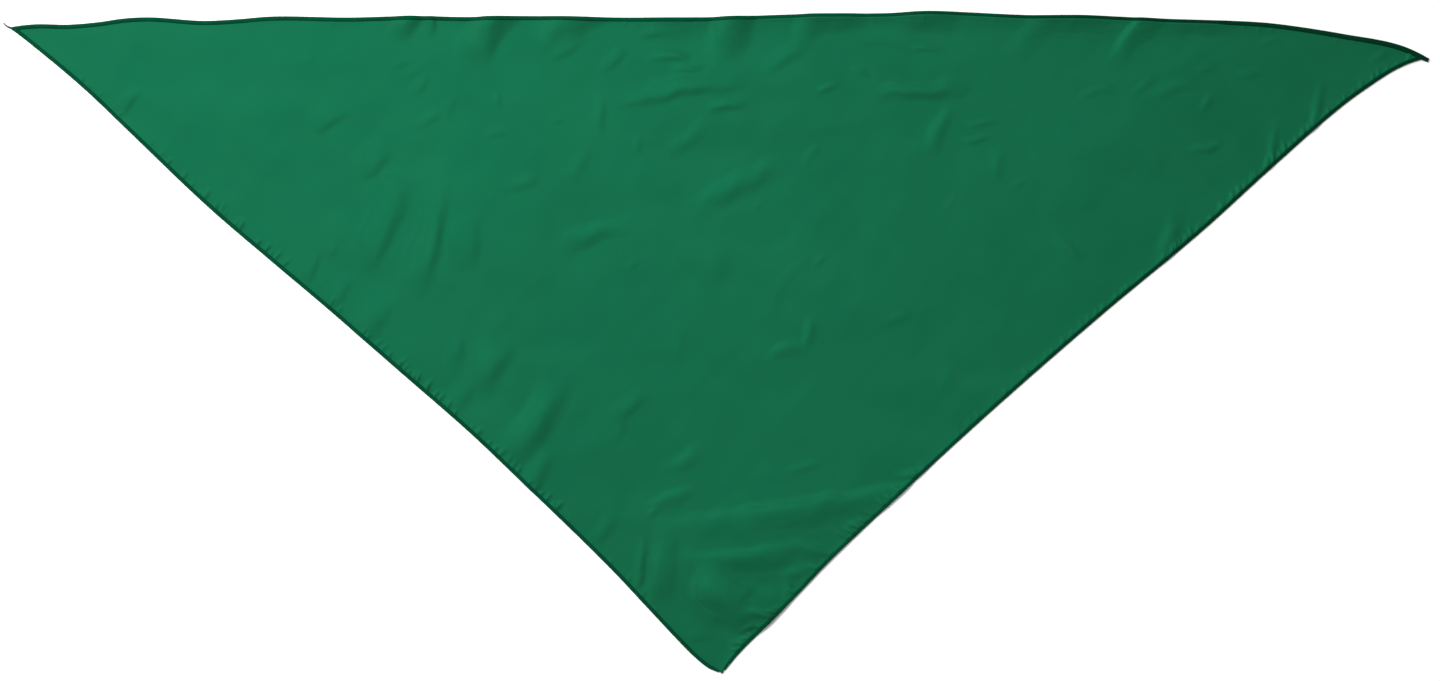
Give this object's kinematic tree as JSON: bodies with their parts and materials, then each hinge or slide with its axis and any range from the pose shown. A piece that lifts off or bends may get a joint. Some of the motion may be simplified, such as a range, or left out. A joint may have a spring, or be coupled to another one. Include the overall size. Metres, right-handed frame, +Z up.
{
  "type": "kerchief",
  "caption": "Triangular kerchief of plain green satin with narrow rolled hems in darker thread, laid out flat with soft folds.",
  "frame": {"origin": "on the surface that the kerchief lies on, under the middle of its outline", "axes": "+X to the right along the long edge, +Y towards the long edge, +Z up out of the surface"},
  "size_m": [1.0002, 0.4659, 0.0079],
  "materials": {
    "satin": "soft satin sheen",
    "hem_thread": "matte twisted thread"
  },
  "bodies": {
    "root": {"cloth_panel": "satin", "long_hem": "hem_thread", "right_hem": "hem_thread", "left_hem": "hem_thread"}
  },
  "joints": []
}
